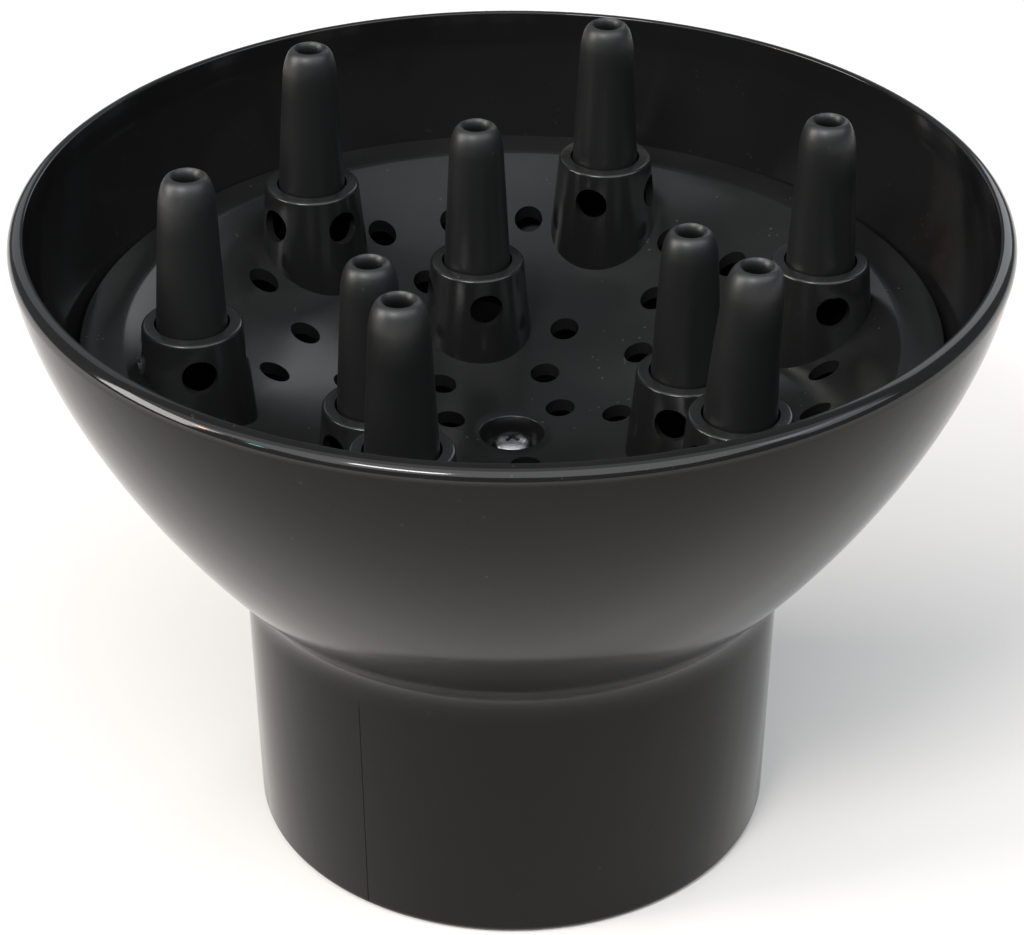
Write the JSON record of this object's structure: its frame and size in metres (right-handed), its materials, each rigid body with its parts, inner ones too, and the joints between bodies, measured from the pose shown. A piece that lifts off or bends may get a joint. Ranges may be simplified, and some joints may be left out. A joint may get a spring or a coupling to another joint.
{
  "type": "hair dryer diffuser",
  "caption": "Bowl-shaped air diffuser for a hair dryer, with a push-on collar, a dished plate of air holes and soft hollow prongs.",
  "frame": {"origin": "centre of the collar's lower edge, where the diffuser stands on a table", "axes": "+Z along the bowl's axis from the collar to the rim; +X to the viewer's right and +Y away from the viewer in the picture"},
  "size_m": [0.1298, 0.1298, 0.0997],
  "materials": {
    "gloss_black": "polished injection moulding",
    "plate_black": "semi-gloss injection moulding",
    "soft_black": "matt soft rubber",
    "screw_steel": "plated steel"
  },
  "bodies": {
    "body": {"bowl_housing": "gloss_black", "diffuser_plate": "plate_black", "throat_spider": "gloss_black", "plate_screw": "screw_steel"},
    "soft_prong_1": {"prong_1": "soft_black"},
    "soft_prong_2": {"prong_2": "soft_black"},
    "soft_prong_3": {"prong_3": "soft_black"},
    "soft_prong_4": {"prong_4": "soft_black"},
    "soft_prong_5": {"prong_5": "soft_black"},
    "soft_prong_6": {"prong_6": "soft_black"},
    "soft_prong_7": {"prong_7": "soft_black"},
    "soft_prong_8": {"prong_8": "soft_black"},
    "soft_prong_9": {"prong_9": "soft_black"}
  },
  "joints": [
    {"name": "prong_1_flex", "type": "hinge", "parent": "body", "child": "soft_prong_1", "pos_m": [-0.04123, -0.00854, 0.07845], "axis": [0.2028, -0.9792, 0], "range_deg": [-5, 5], "stiffness_Nm_per_rad": 0.06},
    {"name": "prong_2_flex", "type": "hinge", "parent": "body", "child": "soft_prong_2", "pos_m": [-0.02801, 0.03144, 0.07845], "axis": [-0.7466, -0.6652, 0], "range_deg": [-5, 5], "stiffness_Nm_per_rad": 0.06},
    {"name": "prong_3_flex", "type": "hinge", "parent": "body", "child": "soft_prong_3", "pos_m": [-0.00485, 0.02341, 0.07062], "axis": [-0.9792, -0.2028, 0], "range_deg": [-5, 5], "stiffness_Nm_per_rad": 0.06},
    {"name": "prong_4_flex", "type": "hinge", "parent": "body", "child": "soft_prong_4", "pos_m": [0.01322, 0.03998, 0.07845], "axis": [-0.9494, 0.314, 0], "range_deg": [-5, 5], "stiffness_Nm_per_rad": 0.06},
    {"name": "prong_5_flex", "type": "hinge", "parent": "body", "child": "soft_prong_5", "pos_m": [0.04123, 0.00854, 0.07845], "axis": [-0.2028, 0.9792, 0], "range_deg": [-5, 5], "stiffness_Nm_per_rad": 0.06},
    {"name": "prong_6_flex", "type": "hinge", "parent": "body", "child": "soft_prong_6", "pos_m": [-0.01785, -0.0159, 0.07062], "axis": [0.6652, -0.7466, 0], "range_deg": [-5, 5], "stiffness_Nm_per_rad": 0.06},
    {"name": "prong_7_flex", "type": "hinge", "parent": "body", "child": "soft_prong_7", "pos_m": [-0.01322, -0.03998, 0.07845], "axis": [0.9494, -0.314, 0], "range_deg": [-5, 5], "stiffness_Nm_per_rad": 0.06},
    {"name": "prong_8_flex", "type": "hinge", "parent": "body", "child": "soft_prong_8", "pos_m": [0.0227, -0.00751, 0.07062], "axis": [0.314, 0.9494, 0], "range_deg": [-5, 5], "stiffness_Nm_per_rad": 0.06},
    {"name": "prong_9_flex", "type": "hinge", "parent": "body", "child": "soft_prong_9", "pos_m": [0.02801, -0.03144, 0.07845], "axis": [0.7466, 0.6652, 0], "range_deg": [-5, 5], "stiffness_Nm_per_rad": 0.06}
  ]
}
